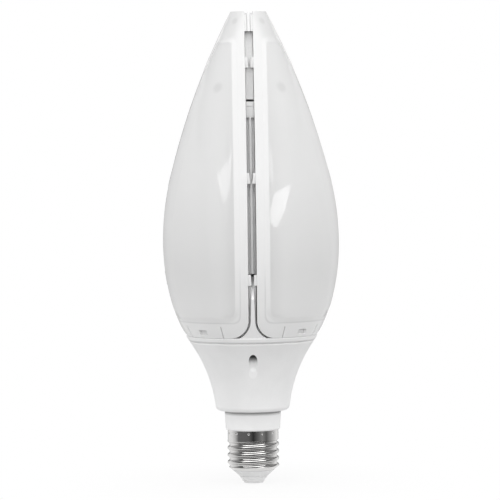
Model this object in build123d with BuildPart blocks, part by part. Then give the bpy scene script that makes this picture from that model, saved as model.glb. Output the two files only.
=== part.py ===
# Industrial LED bulb: four translucent petals round an aluminium core, on a funnel housing with an E27 cap.
# Millimetres, +Z up, origin at the middle of the centre contact's flat face.
import os
from math import atan2, cos, degrees, hypot, radians, sin, sqrt

from build123d import *

os.makedirs("parts", exist_ok=True)

# Outline of the bud: two tangent arcs above its widest ring and two below
total_height = 240.0
tip_radius = 10.1
bud_radius = 45.45
bud_middle = 122.8
foot_radius = 34.4
upper_arc = (140.0, 13.8)
lower_arc = (115.0, 15.6)
outline_overrun = 6.0

# Petals and the gaps between them
petal_angle = 45.0
quarter_turn = 90.0
petal_names = ("rear_right", "rear_left", "front_left", "front_right")
gap_half = 2.1
petal_foot = 75.7
petal_corner = 9.0
border_width = 6.7
panel_step = 0.7
panel_rise = 10.3
panel_drop = 15.8
panel_corner = 6.5
panel_top_corner = 1.2
skin = 2.0
side_wall = 1.6
floor_port_edge = 7.5
floor_port_tall = 2.7
tip_wall = 1.8
reach = 60.0
seam = 0.1

# Spacer lugs on the petals' edges: foot and head stand into the gap
low_lug_heights = (105.2, 155.7)
top_lug_drop = 26.2
lug_tall = 5.4
lug_prouds = ((1.45, 1.3), (1.7, 1.05), (1.7, 1.05))
lug_depth = 2.6
lug_sunk = 1.0
pad_radius = 4.3
pad_proud = 0.15

# Snap tongue at each petal's foot, latch window at its tip and locating pin behind it
slit_angle = 19.0
slit_width = 1.0
slit_tall = 5.8
latch_rise = 2.7
latch_width = 5.6
latch_tall = 2.4
tip_latch_drop = 5.0
tip_latch = 2.5
tip_latch_skin = 0.7
latch_play = 0.2
pin_drop = 38.8
pin_radius = 2.5
pin_inner = 16.4
tab_tall = 8.5
tab_slit = 0.35

# Aluminium core, its upper spider and the crown
core_half = 13.0
core_wall = 2.0
core_corner = 1.5
core_drop = 54.0
core_fin_thick = 1.0
core_fin_radius = 22.0
rib_root = 17.0
rib_half = 1.9
rib_inset = 7.5
rib_foot = 108.2
rib_points = 8
ridge_half = 0.5
ridge_proud = 2.4
spider_plate = 2.5
spider_tall = 8.0
spider_arm_radius = 27.2
spider_arm_half = 1.95
spider_groove_rise = 5.5
spider_groove = 0.5
plug_play = 0.2
plug_depth = 4.0
socket_radius = 7.6
lug_half_width = 4.0
lug_inner = 16.9
lug_outer = 18.9
lug_rise = 4.4
stem_radius = 5.5
stem_bore = 4.0
stem_play = 0.1
crown_drop = 0.6
crown_fin_half = 0.75
crown_fin_inset = 1.1
stem_rib_half = 1.9
stem_rib_inset = 5.7
stem_rib_play = 1.1
prong_half = 1.0
tip_inner = 6.6

# Petal base: plate, fins, snap walls and core spigot
plate_tall = 2.75
plate_edge_round = 0.5
fin_slot = 1.0
fin_taper = 0.8
fin_tall = 31.8
fin_inner = 22.3
fin_inset = 1.2
fin_root_slot = 0.35
fin_root_inset = 5.0
fin_bend = ((41.0, 14.0), (38.6, 25.5))
boss_radius = 2.6
boss_rise = 3.3
snap_half_angle = 14.0
snap_thick = 1.5
snap_tall = 7.0
snap_play = 0.15
hook_sunk = 1.4
wire_hole = 5.0
lead_port = (8.0, 2.6)

# Driver housing: funnel, neck and the spigot inside the cap
housing_wall = 2.2
rim_radius = 32.1
funnel_curve = 71.5
funnel_foot = 37.1
funnel_foot_radius = 18.95
funnel_foot_round = 2.6
neck_foot = 27.2
neck_top_radius = 14.35
neck_foot_radius = 13.9
neck_groove = (0.8, 1.0)
neck_chamfer = 0.6
neck_bore = 10.0
housing_floor = 39.2
spigot_foot = 13.0
well_circle = 26.0
well_radius = 2.2
well_wall = 1.5
well_roof_thick = 2.4
well_column_tall = 21.5

# Screws
screw_shank = 1.3
screw_hole = 1.5
screw_pilot = 1.35
screw_head = 1.95
screw_head_tall = 2.0
screw_rise = 2.5
screw_recess = 0.8
screw_recess_tall = 1.0
pilot_rise = 2.8
board_screw_margins = (6.5, 4.0)
board_screw_shank = 1.3
board_screw_head = 2.6
board_screw_head_tall = 1.6
board_screw_length = 3.4

# E27 cap: knuckle thread of one arc on crest and root
thread_crest = 13.2
thread_pitch = 3.629
thread_arc = 1.025
thread_half = 1.7
thread_sunk = 0.15
thread_start = 5.2
thread_turns = 5
shell_wall = 0.35
skirt_radius = 13.0
skirt_foot = 22.2
thread_fade = 20.9
cone_foot = (7.3, 3.6)
cone_head = (12.1, 7.75)
shell_foot = 6.8
cap_play = 0.08
contact_flat = 4.8
contact_radius = 7.1
contact_tall = 3.5
contact_edge = 0.25
nail_radius = 1.6
nail_top = 10.0
nail_play = 0.1
insulator_top = 9.6

# LED boards and their packages
board_width = 15.0
board_thick = 1.6
board_rise = 8.0
board_drop = 1.5
chip_size = (2.8, 3.5, 0.8)
chip_columns = 2
chip_spread = (8.6, 5.9)
chip_play = 0.5

# Driver inside the housing
driver_width = 30.0
driver_thick = 1.6
driver_foot = 39.5
driver_top = 61.8
driver_parts = {
    "driver_transformer": ((13.0, 11.0, 13.0), (-5.5, 6.3, 53.0)),
    "driver_rectifier": ((6.0, 2.4, 5.0), (-9.5, -2.0, 45.0)),
    "driver_film_capacitor": ((11.0, 5.0, 10.0), (5.5, -3.3, 45.5)),
    "driver_controller": ((5.0, 1.6, 4.0), (-8.0, -1.6, 57.0)),
}
capacitor_radius = 4.5
capacitor_tall = 17.0
capacitor_place = (8.0, 5.3, 44.6)
choke_radius = 4.0
choke_tall = 9.0
choke_place = (3.0, -4.8, 52.2)
part_round = 0.6
terminal_side = 13.0
terminal_tall = 7.0
lead_radius = 0.65
lead_bend = 2.5
lead_spread = 2.4
lead_play = 0.05
lead_pad_rise = 3.0
lead_rise = 3.5
live_place = (0.0, 1.55)
live_rise = 4.5
neutral_place = (5.5, 1.55)
neutral_low = 11.3

half = 0.5

# Heights that follow the tip, the petals' foot and the board
panel_foot = petal_foot + panel_rise
panel_top = total_height - panel_drop
floor_port_top = petal_foot + floor_port_tall
lug_heights = (*low_lug_heights, total_height - top_lug_drop)
latch_height = petal_foot + latch_rise
tip_latch_height = total_height - tip_latch_drop
pin_height = total_height - pin_drop
tip_inner_height = total_height - tip_wall
tab_foot = tip_inner_height - tab_tall
core_top = total_height - core_drop
spider_top = core_top + spider_tall
lug_top = pin_height + lug_rise
crown_top = total_height - crown_drop
plate_foot = petal_foot - plate_tall
fin_top = petal_foot + fin_tall
well_roof = plate_foot - well_roof_thick
well_column_foot = plate_foot - well_column_tall
board_foot = petal_foot + board_rise
board_top = core_top - board_drop
board_screw_heights = (board_foot + board_screw_margins[0], board_top - board_screw_margins[1])
chip_middle = sum(board_screw_heights) * half
chip_room = board_screw_heights[1] - board_screw_heights[0] - (board_screw_head + chip_play) * 2
chip_rows = 1 + int((chip_room - chip_size[1]) / chip_spread[1])
lead_low = driver_top + lead_rise
live_top = driver_foot + live_rise

# Thread depth from one arc on crest and root
thread_depth = 2 * thread_arc - sqrt((2 * thread_arc) ** 2 - (thread_pitch * half) ** 2)
thread_root = thread_crest - thread_depth


# Radius and turn of the arc that runs on from the outline's first arc to its end, and a little past it
def second_arc(first_arc, end_radius, end_rise):
    radius, turn = first_arc
    run = bud_radius - radius * (1 - cos(radians(turn))) - end_radius
    climb = end_rise - radius * sin(radians(turn))
    half_turn = atan2(run, climb) - radians(turn)
    last_radius = hypot(run, climb) * half / sin(half_turn)
    return last_radius, degrees(half_turn * 2 + outline_overrun / last_radius)


upper_arcs = (upper_arc, second_arc(upper_arc, tip_radius, total_height - bud_middle))
lower_arcs = (lower_arc, second_arc(lower_arc, foot_radius, bud_middle - petal_foot))


# Radius of the bud's outline at a height
def outline_radius(height):
    rise = height - bud_middle
    first_arc, last_arc = upper_arcs if rise > 0 else lower_arcs
    first, second = first_arc[0], last_arc[0]
    turn = radians(first_arc[1])
    rise = abs(rise)
    if rise <= first * sin(turn):
        return bud_radius - first + sqrt(first**2 - rise**2)
    centre_radius = bud_radius - first + (first - second) * cos(turn)
    centre_rise = (first - second) * sin(turn)
    return centre_radius + sqrt(second**2 - (rise - centre_rise) ** 2)


# Radius of the funnel's outside at a height
def funnel_radius(height):
    low = (funnel_foot_radius, funnel_foot + funnel_foot_round)
    high = (rim_radius, plate_foot)
    run = high[0] - low[0]
    rise = high[1] - low[1]
    chord = sqrt(run**2 + rise**2)
    offset = sqrt(funnel_curve**2 - (chord * half) ** 2) / chord
    centre_radius = (low[0] + high[0]) * half + rise * offset
    centre_height = (low[1] + high[1]) * half - run * offset
    return centre_radius - sqrt(funnel_curve**2 - (height - centre_height) ** 2)


# Plane that looks outward at an azimuth, its own y axis along +Z
def facing(azimuth, distance):
    angle = radians(azimuth)
    return Plane(
        origin=(distance * cos(angle), distance * sin(angle), 0),
        x_dir=(-sin(angle), cos(angle), 0),
        z_dir=(cos(angle), sin(angle), 0),
    )


# Plane through the axis at an azimuth: own x axis outward, own y axis along +Z
def section(azimuth):
    angle = radians(azimuth)
    return Plane(
        origin=(0, 0, 0),
        x_dir=(cos(angle), sin(angle), 0),
        z_dir=(sin(angle), -cos(angle), 0),
    )


# The two planes square to a petal's gaps: own x axis across the gap, own y axis along +Z
def gap_planes(distance):
    across_x = Plane(origin=(0, distance, 0), x_dir=(1, 0, 0), z_dir=(0, -1, 0))
    across_y = Plane(origin=(distance, 0, 0), x_dir=(0, 1, 0), z_dir=(1, 0, 0))
    return across_x, across_y


# Solid inside the bud's outline, set in by an amount and swept over an arc from azimuth zero
def bud(inset, arc):
    with BuildPart() as solid:
        with BuildSketch(Plane.XZ):
            with BuildLine():
                middle = (bud_radius - inset, bud_middle)
                up_radius, up_turn = upper_arcs[1]
                low_radius, low_turn = lower_arcs[1]
                up_1 = JernArc(middle, (0, 1), upper_arc[0] - inset, upper_arc[1])
                up_2 = JernArc(up_1 @ 1, up_1 % 1, up_radius - inset, up_turn)
                low_1 = JernArc(middle, (0, -1), lower_arc[0] - inset, -lower_arc[1])
                low_2 = JernArc(low_1 @ 1, low_1 % 1, low_radius - inset, -low_turn)
                Polyline(up_2 @ 1, (0, (up_2 @ 1).Y), (0, (low_2 @ 1).Y), low_2 @ 1)
            make_face()
        revolve(axis=Axis.Z, revolution_arc=arc)
    return solid.part


# Part of the bud over one petal, between its two gap edges, with rounded corners on the gap side
def petal_block(inset, edge, foot, top, corner, top_corner=0):
    with BuildPart() as block:
        add(bud(inset, quarter_turn))
        for plane in gap_planes(0):
            with BuildSketch(plane):
                with Locations((edge, foot)):
                    Rectangle(reach, top - foot, align=(Align.MIN, Align.MIN))
                inner_corners = vertices().group_by(Axis.X)[0].sort_by(Axis.Y)
                fillet(inner_corners[0], corner)
                if top_corner:
                    inner_top = vertices().group_by(Axis.X)[0].sort_by(Axis.Y)[-1]
                    fillet(inner_top, top_corner)
            extrude(amount=reach, both=True, mode=Mode.INTERSECT)
    return block.part


# Copies of a solid at the four petals, or at the four gaps
def four_times(solid):
    with BuildPart() as copies:
        with PolarLocations(0, len(petal_names)):
            add(solid)
    return copies.part


# Ribs in the four gaps, whose crest follows the bud's outline at an inset
def gap_ribs(root, rib_half_width, inset, foot, top):
    rise = (top - foot) / rib_points
    with BuildPart() as rib:
        with BuildSketch(section(0)):
            with BuildLine():
                heights = [foot + rise * point for point in range(rib_points + 1)]
                crest = Spline([(outline_radius(height) - inset, height) for height in heights])
                Polyline(crest @ 1, (root, top), (root, foot), crest @ 0)
            make_face()
        extrude(amount=rib_half_width, both=True)
    return four_times(rib.part)


# Half round pads about the lugs, a little proud of the petal's border
with BuildPart() as pads:
    for plane in gap_planes((core_half + bud_radius) * half):
        with BuildSketch(plane):
            with Locations([(0, height) for height in lug_heights]):
                Circle(pad_radius)
        extrude(amount=(bud_radius - core_half) * half + seam, both=True)
    pad_level = petal_block(panel_step - pad_proud, gap_half, petal_foot, total_height, petal_corner)
    add(pad_level, mode=Mode.INTERSECT)

# Tabs at the petal's tip that leave a thin slit beside the crown's fin
with BuildPart() as tabs:
    for plane in gap_planes(0):
        with BuildSketch(plane):
            with Locations((crown_fin_half + tab_slit, tab_foot)):
                Rectangle(gap_half, tab_tall, align=(Align.MIN, Align.MIN))
        extrude(amount=reach, both=True)
    add(bud(crown_fin_inset, quarter_turn), mode=Mode.INTERSECT)

# Petal: moulded shell with a pillow panel, side walls, spacer lugs and a snap tongue
panel_edge = gap_half + border_width
inner_edge = panel_edge + skin
border_skin = panel_step + skin
with BuildPart() as petal:
    add(petal_block(panel_step, gap_half, petal_foot, total_height, petal_corner))
    add(petal_block(0, panel_edge, panel_foot, panel_top, panel_corner, panel_top_corner))
    add(pads.part)

    # Hollow behind the border, behind the panel and through the floor
    wall_corner = petal_corner - side_wall
    wall_edge = gap_half + side_wall
    wall_foot = petal_foot + side_wall
    add(petal_block(border_skin, wall_edge, wall_foot, tip_inner_height, wall_corner), mode=Mode.SUBTRACT)
    panel_hollow = (panel_foot + skin, panel_top - skin, panel_corner - skin)
    add(petal_block(skin, inner_edge, *panel_hollow), mode=Mode.SUBTRACT)
    floor_port = (petal_foot - side_wall, floor_port_top, seam)
    add(petal_block(border_skin, floor_port_edge, *floor_port), mode=Mode.SUBTRACT)
    add(tabs.part)

    # Spacer lugs, wider at the foot
    for height, (foot_proud, head_proud) in zip(lug_heights, lug_prouds):
        lug_middle = outline_radius(height) - panel_step - lug_sunk - lug_depth * half
        lug_root = gap_half + side_wall * half
        lug_foot = height - lug_tall * half
        lug_head = height + lug_tall * half
        for plane in gap_planes(lug_middle):
            with BuildSketch(plane):
                Polygon(
                    (lug_root, lug_foot),
                    (gap_half - foot_proud, lug_foot),
                    (gap_half - head_proud, lug_head),
                    (lug_root, lug_head),
                    align=None,
                )
            extrude(amount=lug_depth * half, both=True)

    # Locating pin that enters the spider's lug
    with BuildSketch(facing(petal_angle, pin_inner)):
        with Locations((0, pin_height)):
            Circle(pin_radius)
    extrude(amount=outline_radius(pin_height) - skin * half - pin_inner)

    # Room for the core and the stem behind the side walls
    with BuildSketch(section(petal_angle)):
        Polygon(
            (0, petal_foot - side_wall),
            (core_half + seam, petal_foot - side_wall),
            (core_half + seam, spider_top),
            (tip_inner, tip_inner_height),
            (0, tip_inner_height),
            align=None,
        )
    extrude(amount=reach, both=True, mode=Mode.SUBTRACT)

    # Tongue slits, foot latch and tip latch
    for side in (-1, 1):
        with BuildSketch(facing(petal_angle + side * slit_angle, outline_radius(petal_foot))):
            with Locations((0, petal_foot)):
                Rectangle(slit_width, slit_tall * 2)
        extrude(amount=slit_tall, both=True, mode=Mode.SUBTRACT)
    with BuildSketch(facing(petal_angle, outline_radius(latch_height))):
        with Locations((0, latch_height)):
            Rectangle(latch_width, latch_tall)
    extrude(amount=border_skin * 2, both=True, mode=Mode.SUBTRACT)
    with BuildSketch(facing(petal_angle, tip_inner)):
        with Locations((0, tip_latch_height)):
            Rectangle(tip_latch, tip_latch)
    latch_floor = outline_radius(tip_latch_height + tip_latch * half) - panel_step - tip_latch_skin
    extrude(amount=latch_floor - tip_inner, mode=Mode.SUBTRACT)

# LED board, its packages and its two screws, made at the first petal
board_face = core_half + board_thick
with BuildPart() as led_board:
    with BuildSketch(facing(petal_angle, core_half)):
        with Locations((0, (board_foot + board_top) * half)):
            Rectangle(board_width, board_top - board_foot)
        with Locations([(0, height) for height in board_screw_heights]):
            Circle(screw_hole, mode=Mode.SUBTRACT)
    extrude(amount=board_thick)

with BuildPart() as led_chips:
    with BuildSketch(facing(petal_angle, board_face)):
        with Locations((0, chip_middle)):
            with GridLocations(*chip_spread, chip_columns, chip_rows):
                Rectangle(chip_size[0], chip_size[1])
    extrude(amount=chip_size[2])

with BuildPart() as board_screw_pair:
    with BuildSketch(facing(petal_angle, board_face)):
        with Locations([(0, height) for height in board_screw_heights]):
            Circle(board_screw_head)
    extrude(amount=board_screw_head_tall)
    with BuildSketch(facing(petal_angle, board_face)):
        with Locations([(0, height) for height in board_screw_heights]):
            Circle(board_screw_shank)
    extrude(amount=-board_screw_length)

# Four petals, boards and package groups, each a node of its own
quarter_parts = {"petal": petal.part, "led_board": led_board.part, "led_chips": led_chips.part}
for index, place in enumerate(petal_names):
    for kind, solid in quarter_parts.items():
        with BuildPart() as placed:
            with Locations(Location((0, 0, 0), (0, 0, index * quarter_turn))):
                add(solid)
        placed.part.label = f"{kind}_{place}"
        export_step(placed.part, f"parts/{kind}_{place}.step")

board_screws = four_times(board_screw_pair.part)
board_screws.label = "board_screws"
export_step(board_screws, "parts/board_screws.step")

# Core: square aluminium tube, corners to the gaps, a thin fin and a rib on each corner
with BuildPart() as heat_sink_core:
    with BuildSketch(Plane.XY.offset(petal_foot)):
        Rectangle(core_half * 2, core_half * 2, rotation=petal_angle)
        with PolarLocations(core_fin_radius * half, len(petal_names)):
            Rectangle(core_fin_radius, core_fin_thick)
        bore_side = (core_half - core_wall) * 2
        RectangleRounded(bore_side, bore_side, core_corner, rotation=petal_angle, mode=Mode.SUBTRACT)
    extrude(amount=core_top - petal_foot)
    add(gap_ribs(rib_root, rib_half, rib_inset, rib_foot, core_top))
    add(gap_ribs(rib_root, ridge_half, rib_inset - ridge_proud, rib_foot, core_top))
    for index in range(len(petal_names)):
        with BuildSketch(facing(petal_angle + index * quarter_turn, core_half)):
            with Locations([(0, height) for height in board_screw_heights]):
                Circle(screw_pilot)
        extrude(amount=-core_wall * 2, mode=Mode.SUBTRACT)
heat_sink_core.part.label = "heat_sink_core"
export_step(heat_sink_core.part, "parts/heat_sink_core.step")

# Upper spider: plate on the core, an arm in each gap and a lug for each petal's pin
plug_side = (core_half - core_wall - plug_play) * 2
with BuildPart() as upper_spider:
    with BuildSketch(Plane.XY.offset(core_top - plug_depth)):
        RectangleRounded(plug_side, plug_side, core_corner, rotation=petal_angle)
    extrude(amount=plug_depth)
    with BuildSketch(Plane.XY.offset(core_top)):
        Rectangle((core_half - seam) * 2, (core_half - seam) * 2, rotation=petal_angle)
    extrude(amount=spider_plate)
    with BuildSketch(Plane.XY.offset(core_top)):
        Circle(socket_radius)
        with PolarLocations(spider_arm_radius * half, len(petal_names)):
            Rectangle(spider_arm_radius, spider_arm_half * 2)
    extrude(amount=spider_top - core_top)
    for index in range(len(petal_names)):
        azimuth = petal_angle + index * quarter_turn
        with BuildSketch(section(azimuth)):
            Polygon(
                (socket_radius, core_top),
                (lug_outer, core_top),
                (lug_outer, lug_top),
                (lug_inner, lug_top),
                (lug_inner, core_top + spider_plate),
                (socket_radius, core_top + spider_plate),
                align=None,
            )
        extrude(amount=lug_half_width, both=True)
        with BuildSketch(facing(azimuth, lug_inner)):
            with Locations((0, pin_height)):
                Circle(pin_radius + latch_play)
        extrude(amount=lug_depth, both=True, mode=Mode.SUBTRACT)
        with BuildSketch(facing(index * quarter_turn, spider_arm_radius)):
            with Locations((0, core_top + spider_groove_rise)):
                Rectangle(spider_arm_half * 2, spider_groove)
        extrude(amount=-spider_groove, mode=Mode.SUBTRACT)
    with BuildSketch(Plane.XY.offset(core_top - plug_depth)):
        Circle(stem_bore)
    extrude(amount=spider_top - core_top + plug_depth, mode=Mode.SUBTRACT)
    with BuildSketch(Plane.XY.offset(core_top + spider_plate)):
        Circle(stem_radius + stem_play)
    extrude(amount=spider_top - core_top, mode=Mode.SUBTRACT)
upper_spider.part.label = "upper_spider"
export_step(upper_spider.part, "parts/upper_spider.step")

# Crown: hollow ribbed stem, hub, a fin in each gap and a prong in each tip latch
with BuildPart() as crown:
    with BuildSketch(Plane.XY.offset(tab_foot)):
        with PolarLocations(reach * half, len(petal_names)):
            Rectangle(reach, crown_fin_half * 2)
    extrude(amount=crown_top - tab_foot)
    add(bud(crown_fin_inset, quarter_turn * len(petal_names)), mode=Mode.INTERSECT)
    for index in range(len(petal_names)):
        with BuildSketch(facing(petal_angle + index * quarter_turn, 0)):
            with Locations((0, tip_latch_height)):
                Rectangle(prong_half * 2, prong_half * 2)
        extrude(amount=latch_floor - latch_play)
    with BuildSketch(Plane.XY.offset(core_top + spider_plate + seam)):
        Circle(stem_radius)
    extrude(amount=tip_inner_height - core_top - spider_plate - seam * 2)
    stem_rib_foot = spider_top + stem_rib_play
    add(gap_ribs(stem_bore + seam, stem_rib_half, stem_rib_inset, stem_rib_foot, tab_foot - seam))
    with BuildSketch(Plane.XY.offset(core_top + spider_plate)):
        Circle(stem_bore)
    extrude(amount=tab_foot - core_top - spider_plate, mode=Mode.SUBTRACT)
crown.part.label = "crown"
export_step(crown.part, "parts/crown.step")

# Blade of the petal base in a gap: flared foot beside the petals' corners, set in from the outline
def fin_blade(slot, inset, taper=0):
    corner_middle = (gap_half + petal_corner, petal_foot + petal_corner)
    flare_radius = petal_corner + slot
    flare_edge = corner_middle[0] - sqrt(flare_radius**2 - petal_corner**2)
    flare_turn = radians(petal_angle * half)
    blade_half = gap_half - slot
    with BuildPart() as blade:
        with BuildSketch(facing(0, fin_inner)):
            with BuildLine():
                flare_point = (
                    corner_middle[0] - flare_radius * cos(flare_turn),
                    corner_middle[1] - flare_radius * sin(flare_turn),
                )
                flare_head = (blade_half, corner_middle[1])
                flare = ThreePointArc((flare_edge, petal_foot), flare_point, flare_head)
                Polyline(
                    flare @ 1,
                    (blade_half - taper, fin_top),
                    (0, fin_top),
                    (0, plate_foot),
                    (flare_edge, plate_foot),
                    flare @ 0,
                )
            make_face()
            mirror(about=Plane.YZ)
        extrude(amount=reach)
        add(bud(inset, quarter_turn * len(petal_names)), mode=Mode.INTERSECT)
    return blade.part


# Fin of the petal base: thin blade on a thicker root, with a crest that bends in to the core
with BuildPart() as base_fin:
    add(fin_blade(fin_slot, fin_inset, fin_taper))
    add(fin_blade(fin_root_slot, fin_root_inset))
    with BuildSketch(section(0)):
        with BuildLine():
            bend_foot, bend_middle = [(radius, petal_foot + rise) for radius, rise in fin_bend]
            crest = ThreePointArc(bend_foot, bend_middle, (fin_inner, fin_top))
            Polyline(
                crest @ 1,
                (fin_inner, plate_foot),
                (reach, plate_foot),
                (reach, bend_foot[1]),
                crest @ 0,
            )
        make_face()
    extrude(amount=reach, both=True, mode=Mode.INTERSECT)
    with BuildSketch(Plane.XY.offset(plate_foot)):
        with Locations((well_circle, 0)):
            Circle(boss_radius)
    extrude(amount=plate_tall + boss_rise)

# Snap wall with the hook that holds a petal's tongue
with BuildPart() as snap_wall:
    add(bud(border_skin + snap_play, quarter_turn))
    add(bud(border_skin + snap_play + snap_thick, quarter_turn), mode=Mode.SUBTRACT)
    with BuildSketch(Plane.XY.offset(petal_foot - plate_edge_round)):
        with BuildLine():
            low_side = PolarLine((0, 0), reach, petal_angle - snap_half_angle)
            high_side = PolarLine((0, 0), reach, petal_angle + snap_half_angle)
            Line(low_side @ 1, high_side @ 1)
        make_face()
    extrude(amount=snap_tall, mode=Mode.INTERSECT)
    hook_face = outline_radius(latch_height) - panel_step - hook_sunk
    with BuildSketch(facing(petal_angle, hook_face)):
        with Locations((0, latch_height)):
            Rectangle(latch_width - latch_play * 2, latch_tall - latch_play * 2)
    extrude(amount=-skin)

# Petal base: plate, core spigot, fins, snap walls, lead ports and screw pilots
lead_circle = board_face + lead_play + lead_radius
plate_radius = outline_radius(petal_foot) - panel_step
with BuildPart() as petal_base:
    with BuildSketch(Plane.XZ):
        Polygon(
            (0, plate_foot),
            (rim_radius, plate_foot),
            (plate_radius, petal_foot),
            (0, petal_foot),
            align=None,
        )
    revolve(axis=Axis.Z)
    fillet(edges().group_by(SortBy.LENGTH)[-1] + edges().group_by(SortBy.LENGTH)[-2], plate_edge_round)
    with BuildSketch(Plane.XY.offset(petal_foot)):
        RectangleRounded(plug_side, plug_side, core_corner, rotation=petal_angle)
    extrude(amount=plug_depth)
    add(four_times(base_fin.part))
    add(four_times(snap_wall.part))
    with BuildSketch(Plane.XY.offset(plate_foot)):
        Circle(wire_hole)
    extrude(amount=plug_depth * 2, mode=Mode.SUBTRACT)
    with BuildSketch(Plane.XY.offset(plate_foot)):
        with PolarLocations(lead_circle, len(petal_names), start_angle=petal_angle):
            Rectangle(lead_port[1], lead_port[0])
    extrude(amount=plate_tall, mode=Mode.SUBTRACT)
    with BuildSketch(Plane.XY.offset(plate_foot)):
        with PolarLocations(well_circle, len(petal_names)):
            Circle(screw_pilot)
    extrude(amount=plate_tall + pilot_rise, mode=Mode.SUBTRACT)
petal_base.part.label = "petal_base"
export_step(petal_base.part, "parts/petal_base.step")

# Outside of the driver housing as a solid: spigot, neck and funnel
spigot_radius = thread_root - shell_wall - cap_play
shoulder_radius = skirt_radius - shell_wall - cap_play
shoulder_foot = skirt_foot - skirt_radius + thread_root
with BuildPart() as housing_form:
    with BuildSketch(Plane.XZ):
        with BuildLine():
            funnel = RadiusArc(
                (funnel_foot_radius, funnel_foot + funnel_foot_round),
                (rim_radius, plate_foot),
                funnel_curve,
            )
            Polyline(
                funnel @ 1,
                (0, plate_foot),
                (0, spigot_foot),
                (spigot_radius, spigot_foot),
                (spigot_radius, shoulder_foot),
                (shoulder_radius, skirt_foot),
                (shoulder_radius, neck_foot),
                (neck_foot_radius - neck_chamfer, neck_foot),
                (neck_foot_radius, neck_foot + neck_chamfer),
                (neck_top_radius, funnel_foot - neck_groove[1]),
                (neck_top_radius - neck_groove[0], funnel_foot - neck_groove[1]),
                (neck_top_radius - neck_groove[0], funnel_foot),
                (funnel_foot_radius - funnel_foot_round, funnel_foot),
            )
            foot_side = (funnel_foot_radius - funnel_foot_round, funnel_foot)
            foot_middle = (funnel_foot_radius - funnel_foot_round, funnel_foot + funnel_foot_round)
            CenterArc(foot_middle, funnel_foot_round, -quarter_turn, quarter_turn)
        make_face()
    revolve(axis=Axis.Z)

# Driver housing: hollow, with a column about each screw well
with BuildPart() as driver_housing:
    add(housing_form.part)
    with BuildSketch(Plane.XZ):
        with BuildLine():
            inside = RadiusArc(
                (funnel_radius(housing_floor) - housing_wall, housing_floor),
                (rim_radius - housing_wall, plate_foot),
                funnel_curve,
            )
            Polyline(
                inside @ 1,
                (0, plate_foot),
                (0, spigot_foot),
                (neck_bore, spigot_foot),
                (neck_bore, housing_floor),
                inside @ 0,
            )
        make_face()
    revolve(axis=Axis.Z, mode=Mode.SUBTRACT)
    with BuildSketch(Plane.XY.offset(well_column_foot)):
        with PolarLocations(well_circle, len(petal_names)):
            Circle(well_radius + well_wall)
    extrude(amount=well_column_tall)
    add(housing_form.part, mode=Mode.INTERSECT)
    with BuildSketch(Plane.XY.offset(well_column_foot)):
        with PolarLocations(well_circle, len(petal_names)):
            Circle(well_radius)
    extrude(amount=well_roof - well_column_foot, mode=Mode.SUBTRACT)
    with BuildSketch(Plane.XY.offset(well_column_foot)):
        with PolarLocations(well_circle, len(petal_names)):
            Circle(screw_hole)
    extrude(amount=well_column_tall, mode=Mode.SUBTRACT)
    fillet(edges().filter_by(GeomType.CIRCLE).sort_by(SortBy.LENGTH)[-1], plate_edge_round)
driver_housing.part.label = "driver_housing"
export_step(driver_housing.part, "parts/driver_housing.step")

# Housing screws, driven up through the wells into the petal base
with BuildPart() as housing_screws:
    with BuildSketch(Plane.XY.offset(well_roof - screw_head_tall)):
        with PolarLocations(well_circle, len(petal_names)):
            Circle(screw_head)
    extrude(amount=screw_head_tall)
    with BuildSketch(Plane.XY.offset(well_roof)):
        with PolarLocations(well_circle, len(petal_names)):
            Circle(screw_shank)
    extrude(amount=petal_foot + screw_rise - well_roof)
    with BuildSketch(Plane.XY.offset(well_roof - screw_head_tall)):
        with PolarLocations(well_circle, len(petal_names)):
            RegularPolygon(screw_recess, side_count=6)
    extrude(amount=screw_recess_tall, mode=Mode.SUBTRACT)
housing_screws.part.label = "housing_screws"
export_step(housing_screws.part, "parts/housing_screws.step")

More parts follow.
